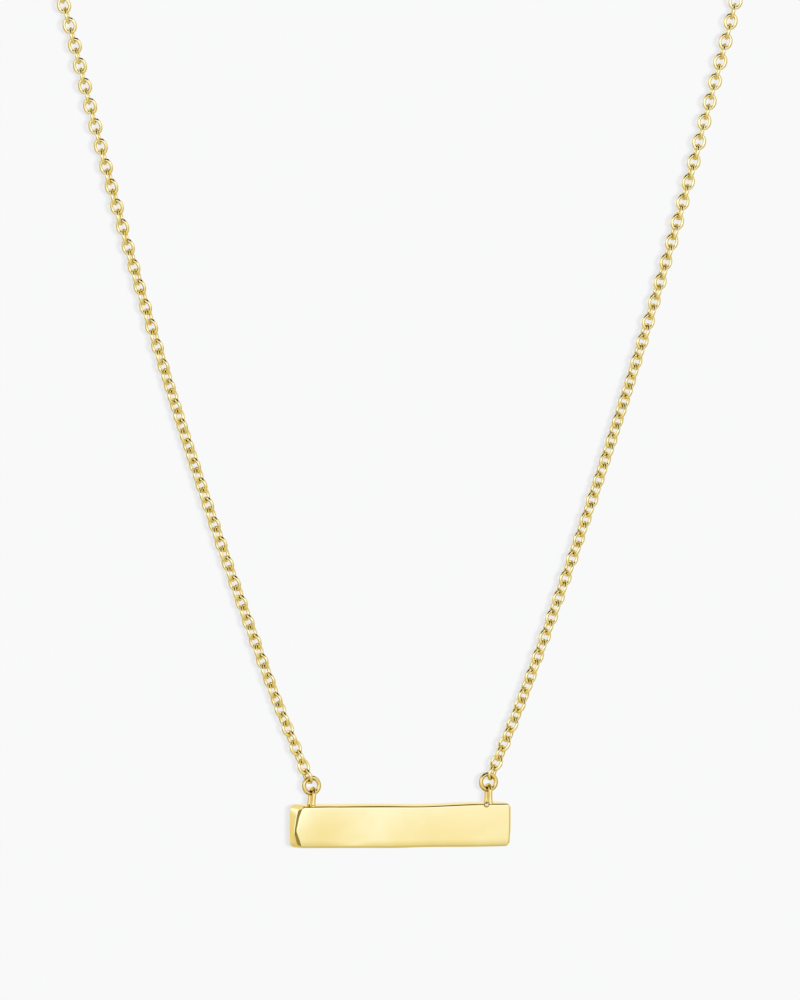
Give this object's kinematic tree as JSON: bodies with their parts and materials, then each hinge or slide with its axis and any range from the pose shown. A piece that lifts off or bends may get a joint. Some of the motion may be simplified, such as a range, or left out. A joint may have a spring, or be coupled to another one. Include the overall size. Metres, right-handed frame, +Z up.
{
  "type": "plate necklace",
  "caption": "Necklace with a small rounded bar plate that swings from two eyelets and jump rings on a fine cable chain, closed at the nape by a plain ring clasp.",
  "frame": {"origin": "at the nape, in the middle of the clasp's ring, where the necklace hangs from the back of the neck", "axes": "+Z up, -Y to the front, where the plate hangs; X runs along the plate, with +X on the right as seen from the front"},
  "size_m": [0.0898, 0.0918, 0.1339],
  "materials": {
    "plate_gold": "pale gold plate, polished by hand to a mirror",
    "ring_gold": "gold plated round wire, polished",
    "chain_gold": "gold plated cable chain, polished",
    "clasp_gold": "gold plated, polished"
  },
  "bodies": {
    "chain": {"chain_left": "chain_gold", "chain_right": "chain_gold", "jump_ring_left": "ring_gold", "jump_ring_right": "ring_gold", "clasp": "clasp_gold"},
    "plate": {"plate": "plate_gold"}
  },
  "joints": [
    {"name": "plate_swing", "type": "hinge", "parent": "chain", "child": "plate", "pos_m": [0, -0.09, -0.12574], "axis": [1, 0, 0], "range_deg": [-105, 105]}
  ]
}
